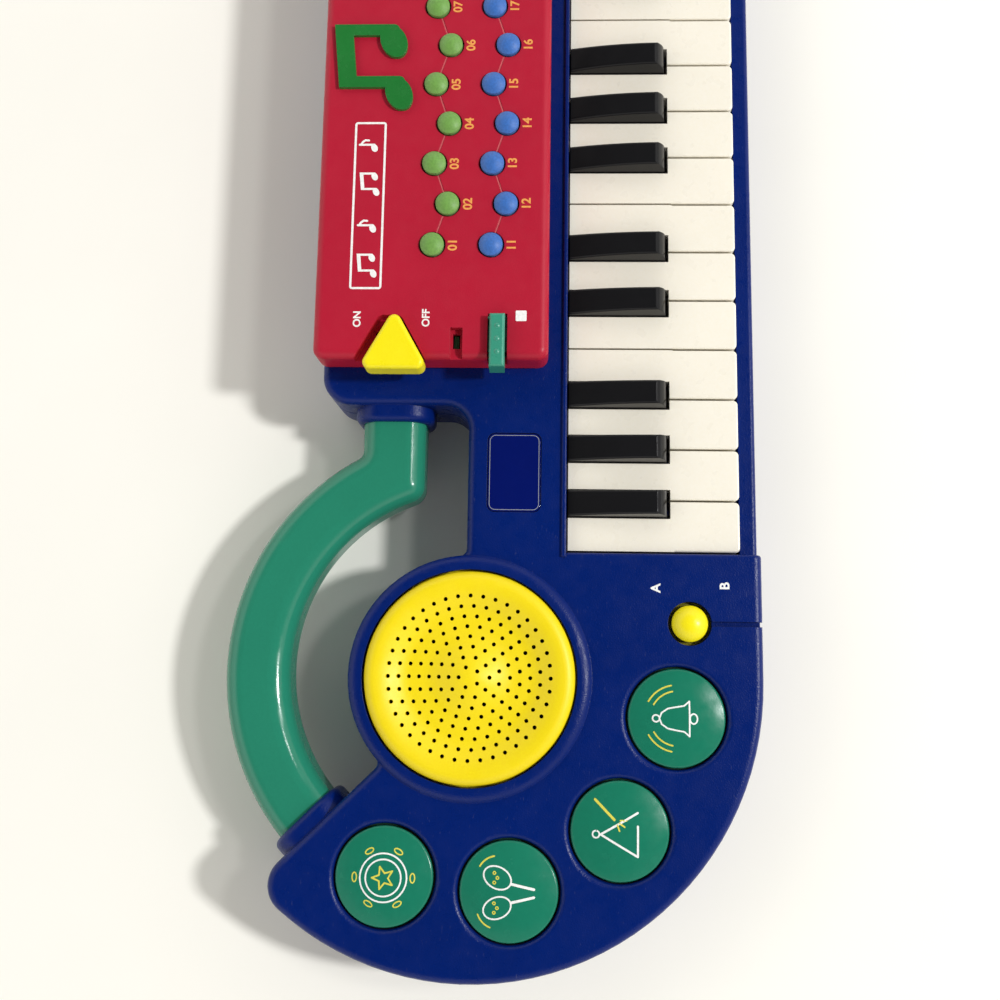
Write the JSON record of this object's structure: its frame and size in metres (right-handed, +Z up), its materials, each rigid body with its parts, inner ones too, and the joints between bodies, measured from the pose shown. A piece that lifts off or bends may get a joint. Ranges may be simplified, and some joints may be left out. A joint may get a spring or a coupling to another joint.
{
  "type": "toy keyboard",
  "caption": "Toy electronic keyboard with a straight key bed, a round drum end with speaker and pads, a raised control box and an arched carry handle.",
  "frame": {"origin": "centre of the base rectangle, on the table under the feet", "axes": "+X along the keys to the player's right, +Y away from the player, +Z up"},
  "size_m": [0.3436, 0.1484, 0.0397],
  "materials": {
    "case_blue": "fine satin texture",
    "panel_red": "satin",
    "handle_green": "gloss",
    "pad_green": "gloss",
    "grille_yellow": "semi-gloss",
    "knob_yellow": "semi-gloss",
    "voice_green": "matte",
    "rhythm_blue": "matte",
    "key_white": "semi-gloss",
    "key_black": "gloss",
    "driver_black": "matte",
    "board_green": "matte",
    "mat_grey": "matte",
    "hinge_grey": "matte",
    "screw_steel": "satin",
    "cell_can": "gloss"
  },
  "bodies": {
    "case": {"upper_case": "case_blue", "lower_case": "case_blue", "control_panel": "panel_red", "carry_handle": "handle_green", "speaker_grille": "grille_yellow", "loudspeaker": "driver_black", "circuit_boards": "board_green", "contact_mats": "mat_grey", "key_hinge_rail": "hinge_grey", "case_screws": "screw_steel", "battery_cells": "cell_can"},
    "key_01_f": {"key_01_f": "key_white"},
    "key_02_f_sharp": {"key_02_f_sharp": "key_black"},
    "key_03_g": {"key_03_g": "key_white"},
    "key_04_g_sharp": {"key_04_g_sharp": "key_black"},
    "key_05_a": {"key_05_a": "key_white"},
    "key_06_a_sharp": {"key_06_a_sharp": "key_black"},
    "key_07_b": {"key_07_b": "key_white"},
    "key_08_c": {"key_08_c": "key_white"},
    "key_09_c_sharp": {"key_09_c_sharp": "key_black"},
    "key_10_d": {"key_10_d": "key_white"},
    "key_11_d_sharp": {"key_11_d_sharp": "key_black"},
    "key_12_e": {"key_12_e": "key_white"},
    "key_13_f": {"key_13_f": "key_white"},
    "key_14_f_sharp": {"key_14_f_sharp": "key_black"},
    "key_15_g": {"key_15_g": "key_white"},
    "key_16_g_sharp": {"key_16_g_sharp": "key_black"},
    "key_17_a": {"key_17_a": "key_white"},
    "key_18_a_sharp": {"key_18_a_sharp": "key_black"},
    "key_19_b": {"key_19_b": "key_white"},
    "key_20_c": {"key_20_c": "key_white"},
    "key_21_c_sharp": {"key_21_c_sharp": "key_black"},
    "key_22_d": {"key_22_d": "key_white"},
    "key_23_d_sharp": {"key_23_d_sharp": "key_black"},
    "key_24_e": {"key_24_e": "key_white"},
    "key_25_f": {"key_25_f": "key_white"},
    "voice_button_1": {"voice_button_1": "voice_green"},
    "voice_button_2": {"voice_button_2": "voice_green"},
    "voice_button_3": {"voice_button_3": "voice_green"},
    "voice_button_4": {"voice_button_4": "voice_green"},
    "voice_button_5": {"voice_button_5": "voice_green"},
    "voice_button_6": {"voice_button_6": "voice_green"},
    "voice_button_7": {"voice_button_7": "voice_green"},
    "voice_button_8": {"voice_button_8": "voice_green"},
    "rhythm_button_1": {"rhythm_button_1": "rhythm_blue"},
    "rhythm_button_2": {"rhythm_button_2": "rhythm_blue"},
    "rhythm_button_3": {"rhythm_button_3": "rhythm_blue"},
    "rhythm_button_4": {"rhythm_button_4": "rhythm_blue"},
    "rhythm_button_5": {"rhythm_button_5": "rhythm_blue"},
    "rhythm_button_6": {"rhythm_button_6": "rhythm_blue"},
    "rhythm_button_7": {"rhythm_button_7": "rhythm_blue"},
    "rhythm_button_8": {"rhythm_button_8": "rhythm_blue"},
    "drum_pad_1": {"drum_pad_1": "pad_green"},
    "drum_pad_2": {"drum_pad_2": "pad_green"},
    "drum_pad_3": {"drum_pad_3": "pad_green"},
    "drum_pad_4": {"drum_pad_4": "pad_green"},
    "mode_button": {"mode_button": "knob_yellow"},
    "power_slider": {"power_slider": "knob_yellow"},
    "stop_button": {"stop_button": "handle_green"},
    "battery_door": {"battery_door": "case_blue"}
  },
  "joints": [
    {"name": "key_01_f_press", "type": "hinge", "parent": "case", "child": "key_01_f", "pos_m": [-0.0504, -0.00915, 0.0175], "axis": [1, 0, 0], "range_deg": [0, 2.89], "stiffness_Nm_per_rad": 0.15, "springref_deg": -8.59},
    {"name": "key_02_f_sharp_press", "type": "hinge", "parent": "case", "child": "key_02_f_sharp", "pos_m": [-0.04415, -0.00915, 0.0175], "axis": [1, 0, 0], "range_deg": [0, 2.89], "stiffness_Nm_per_rad": 0.15, "springref_deg": -8.59},
    {"name": "key_03_g_press", "type": "hinge", "parent": "case", "child": "key_03_g", "pos_m": [-0.0359, -0.00915, 0.0175], "axis": [1, 0, 0], "range_deg": [0, 2.89], "stiffness_Nm_per_rad": 0.15, "springref_deg": -8.59},
    {"name": "key_04_g_sharp_press", "type": "hinge", "parent": "case", "child": "key_04_g_sharp", "pos_m": [-0.02865, -0.00915, 0.0175], "axis": [1, 0, 0], "range_deg": [0, 2.89], "stiffness_Nm_per_rad": 0.15, "springref_deg": -8.59},
    {"name": "key_05_a_press", "type": "hinge", "parent": "case", "child": "key_05_a", "pos_m": [-0.0214, -0.00915, 0.0175], "axis": [1, 0, 0], "range_deg": [0, 2.89], "stiffness_Nm_per_rad": 0.15, "springref_deg": -8.59},
    {"name": "key_06_a_sharp_press", "type": "hinge", "parent": "case", "child": "key_06_a_sharp", "pos_m": [-0.01315, -0.00915, 0.0175], "axis": [1, 0, 0], "range_deg": [0, 2.89], "stiffness_Nm_per_rad": 0.15, "springref_deg": -8.59},
    {"name": "key_07_b_press", "type": "hinge", "parent": "case", "child": "key_07_b", "pos_m": [-0.0069, -0.00915, 0.0175], "axis": [1, 0, 0], "range_deg": [0, 2.89], "stiffness_Nm_per_rad": 0.15, "springref_deg": -8.59},
    {"name": "key_08_c_press", "type": "hinge", "parent": "case", "child": "key_08_c", "pos_m": [0.0076, -0.00915, 0.0175], "axis": [1, 0, 0], "range_deg": [0, 2.89], "stiffness_Nm_per_rad": 0.15, "springref_deg": -8.59},
    {"name": "key_09_c_sharp_press", "type": "hinge", "parent": "case", "child": "key_09_c_sharp", "pos_m": [0.01385, -0.00915, 0.0175], "axis": [1, 0, 0], "range_deg": [0, 2.89], "stiffness_Nm_per_rad": 0.15, "springref_deg": -8.59},
    {"name": "key_10_d_press", "type": "hinge", "parent": "case", "child": "key_10_d", "pos_m": [0.0221, -0.00915, 0.0175], "axis": [1, 0, 0], "range_deg": [0, 2.89], "stiffness_Nm_per_rad": 0.15, "springref_deg": -8.59},
    {"name": "key_11_d_sharp_press", "type": "hinge", "parent": "case", "child": "key_11_d_sharp", "pos_m": [0.03035, -0.00915, 0.0175], "axis": [1, 0, 0], "range_deg": [0, 2.89], "stiffness_Nm_per_rad": 0.15, "springref_deg": -8.59},
    {"name": "key_12_e_press", "type": "hinge", "parent": "case", "child": "key_12_e", "pos_m": [0.0366, -0.00915, 0.0175], "axis": [1, 0, 0], "range_deg": [0, 2.89], "stiffness_Nm_per_rad": 0.15, "springref_deg": -8.59},
    {"name": "key_13_f_press", "type": "hinge", "parent": "case", "child": "key_13_f", "pos_m": [0.0511, -0.00915, 0.0175], "axis": [1, 0, 0], "range_deg": [0, 2.89], "stiffness_Nm_per_rad": 0.15, "springref_deg": -8.59},
    {"name": "key_14_f_sharp_press", "type": "hinge", "parent": "case", "child": "key_14_f_sharp", "pos_m": [0.05735, -0.00915, 0.0175], "axis": [1, 0, 0], "range_deg": [0, 2.89], "stiffness_Nm_per_rad": 0.15, "springref_deg": -8.59},
    {"name": "key_15_g_press", "type": "hinge", "parent": "case", "child": "key_15_g", "pos_m": [0.0656, -0.00915, 0.0175], "axis": [1, 0, 0], "range_deg": [0, 2.89], "stiffness_Nm_per_rad": 0.15, "springref_deg": -8.59},
    {"name": "key_16_g_sharp_press", "type": "hinge", "parent": "case", "child": "key_16_g_sharp", "pos_m": [0.07285, -0.00915, 0.0175], "axis": [1, 0, 0], "range_deg": [0, 2.89], "stiffness_Nm_per_rad": 0.15, "springref_deg": -8.59},
    {"name": "key_17_a_press", "type": "hinge", "parent": "case", "child": "key_17_a", "pos_m": [0.0801, -0.00915, 0.0175], "axis": [1, 0, 0], "range_deg": [0, 2.89], "stiffness_Nm_per_rad": 0.15, "springref_deg": -8.59},
    {"name": "key_18_a_sharp_press", "type": "hinge", "parent": "case", "child": "key_18_a_sharp", "pos_m": [0.08835, -0.00915, 0.0175], "axis": [1, 0, 0], "range_deg": [0, 2.89], "stiffness_Nm_per_rad": 0.15, "springref_deg": -8.59},
    {"name": "key_19_b_press", "type": "hinge", "parent": "case", "child": "key_19_b", "pos_m": [0.0946, -0.00915, 0.0175], "axis": [1, 0, 0], "range_deg": [0, 2.89], "stiffness_Nm_per_rad": 0.15, "springref_deg": -8.59},
    {"name": "key_20_c_press", "type": "hinge", "parent": "case", "child": "key_20_c", "pos_m": [0.1091, -0.00915, 0.0175], "axis": [1, 0, 0], "range_deg": [0, 2.89], "stiffness_Nm_per_rad": 0.15, "springref_deg": -8.59},
    {"name": "key_21_c_sharp_press", "type": "hinge", "parent": "case", "child": "key_21_c_sharp", "pos_m": [0.11535, -0.00915, 0.0175], "axis": [1, 0, 0], "range_deg": [0, 2.89], "stiffness_Nm_per_rad": 0.15, "springref_deg": -8.59},
    {"name": "key_22_d_press", "type": "hinge", "parent": "case", "child": "key_22_d", "pos_m": [0.1236, -0.00915, 0.0175], "axis": [1, 0, 0], "range_deg": [0, 2.89], "stiffness_Nm_per_rad": 0.15, "springref_deg": -8.59},
    {"name": "key_23_d_sharp_press", "type": "hinge", "parent": "case", "child": "key_23_d_sharp", "pos_m": [0.13185, -0.00915, 0.0175], "axis": [1, 0, 0], "range_deg": [0, 2.89], "stiffness_Nm_per_rad": 0.15, "springref_deg": -8.59},
    {"name": "key_24_e_press", "type": "hinge", "parent": "case", "child": "key_24_e", "pos_m": [0.1381, -0.00915, 0.0175], "axis": [1, 0, 0], "range_deg": [0, 2.89], "stiffness_Nm_per_rad": 0.15, "springref_deg": -8.59},
    {"name": "key_25_f_press", "type": "hinge", "parent": "case", "child": "key_25_f", "pos_m": [0.1526, -0.00915, 0.0175], "axis": [1, 0, 0], "range_deg": [0, 2.89], "stiffness_Nm_per_rad": 0.15, "springref_deg": -8.59},
    {"name": "voice_button_1_press", "type": "slide", "parent": "case", "child": "voice_button_1", "axis": [0, 0, -1], "range_m": [0, 0.0015], "stiffness_N_per_m": 60, "springref_m": -0.004},
    {"name": "voice_button_2_press", "type": "slide", "parent": "case", "child": "voice_button_2", "axis": [0, 0, -1], "range_m": [0, 0.0015], "stiffness_N_per_m": 60, "springref_m": -0.004},
    {"name": "voice_button_3_press", "type": "slide", "parent": "case", "child": "voice_button_3", "axis": [0, 0, -1], "range_m": [0, 0.0015], "stiffness_N_per_m": 60, "springref_m": -0.004},
    {"name": "voice_button_4_press", "type": "slide", "parent": "case", "child": "voice_button_4", "axis": [0, 0, -1], "range_m": [0, 0.0015], "stiffness_N_per_m": 60, "springref_m": -0.004},
    {"name": "voice_button_5_press", "type": "slide", "parent": "case", "child": "voice_button_5", "axis": [0, 0, -1], "range_m": [0, 0.0015], "stiffness_N_per_m": 60, "springref_m": -0.004},
    {"name": "voice_button_6_press", "type": "slide", "parent": "case", "child": "voice_button_6", "axis": [0, 0, -1], "range_m": [0, 0.0015], "stiffness_N_per_m": 60, "springref_m": -0.004},
    {"name": "voice_button_7_press", "type": "slide", "parent": "case", "child": "voice_button_7", "axis": [0, 0, -1], "range_m": [0, 0.0015], "stiffness_N_per_m": 60, "springref_m": -0.004},
    {"name": "voice_button_8_press", "type": "slide", "parent": "case", "child": "voice_button_8", "axis": [0, 0, -1], "range_m": [0, 0.0015], "stiffness_N_per_m": 60, "springref_m": -0.004},
    {"name": "rhythm_button_1_press", "type": "slide", "parent": "case", "child": "rhythm_button_1", "axis": [0, 0, -1], "range_m": [0, 0.0015], "stiffness_N_per_m": 60, "springref_m": -0.004},
    {"name": "rhythm_button_2_press", "type": "slide", "parent": "case", "child": "rhythm_button_2", "axis": [0, 0, -1], "range_m": [0, 0.0015], "stiffness_N_per_m": 60, "springref_m": -0.004},
    {"name": "rhythm_button_3_press", "type": "slide", "parent": "case", "child": "rhythm_button_3", "axis": [0, 0, -1], "range_m": [0, 0.0015], "stiffness_N_per_m": 60, "springref_m": -0.004},
    {"name": "rhythm_button_4_press", "type": "slide", "parent": "case", "child": "rhythm_button_4", "axis": [0, 0, -1], "range_m": [0, 0.0015], "stiffness_N_per_m": 60, "springref_m": -0.004},
    {"name": "rhythm_button_5_press", "type": "slide", "parent": "case", "child": "rhythm_button_5", "axis": [0, 0, -1], "range_m": [0, 0.0015], "stiffness_N_per_m": 60, "springref_m": -0.004},
    {"name": "rhythm_button_6_press", "type": "slide", "parent": "case", "child": "rhythm_button_6", "axis": [0, 0, -1], "range_m": [0, 0.0015], "stiffness_N_per_m": 60, "springref_m": -0.004},
    {"name": "rhythm_button_7_press", "type": "slide", "parent": "case", "child": "rhythm_button_7", "axis": [0, 0, -1], "range_m": [0, 0.0015], "stiffness_N_per_m": 60, "springref_m": -0.004},
    {"name": "rhythm_button_8_press", "type": "slide", "parent": "case", "child": "rhythm_button_8", "axis": [0, 0, -1], "range_m": [0, 0.0015], "stiffness_N_per_m": 60, "springref_m": -0.004},
    {"name": "drum_pad_1_press", "type": "slide", "parent": "case", "child": "drum_pad_1", "axis": [0, 0, -1], "range_m": [0, 0.0012], "stiffness_N_per_m": 300, "springref_m": -0.003},
    {"name": "drum_pad_2_press", "type": "slide", "parent": "case", "child": "drum_pad_2", "axis": [0, 0, -1], "range_m": [0, 0.0012], "stiffness_N_per_m": 300, "springref_m": -0.003},
    {"name": "drum_pad_3_press", "type": "slide", "parent": "case", "child": "drum_pad_3", "axis": [0, 0, -1], "range_m": [0, 0.0012], "stiffness_N_per_m": 300, "springref_m": -0.003},
    {"name": "drum_pad_4_press", "type": "slide", "parent": "case", "child": "drum_pad_4", "axis": [0, 0, -1], "range_m": [0, 0.0012], "stiffness_N_per_m": 300, "springref_m": -0.003},
    {"name": "mode_button_press", "type": "slide", "parent": "case", "child": "mode_button", "axis": [0, 0, -1], "range_m": [0, 0.0012], "stiffness_N_per_m": 100, "springref_m": -0.004},
    {"name": "stop_button_press", "type": "slide", "parent": "case", "child": "stop_button", "axis": [0, 0, -1], "range_m": [0, 0.0015], "stiffness_N_per_m": 120, "springref_m": -0.004},
    {"name": "power_slide", "type": "slide", "parent": "case", "child": "power_slider", "axis": [0, 1, 0], "range_m": [0, 0.003]},
    {"name": "battery_door_slide", "type": "slide", "parent": "case", "child": "battery_door", "axis": [0, 1, 0], "range_m": [0, 0.052]}
  ]
}
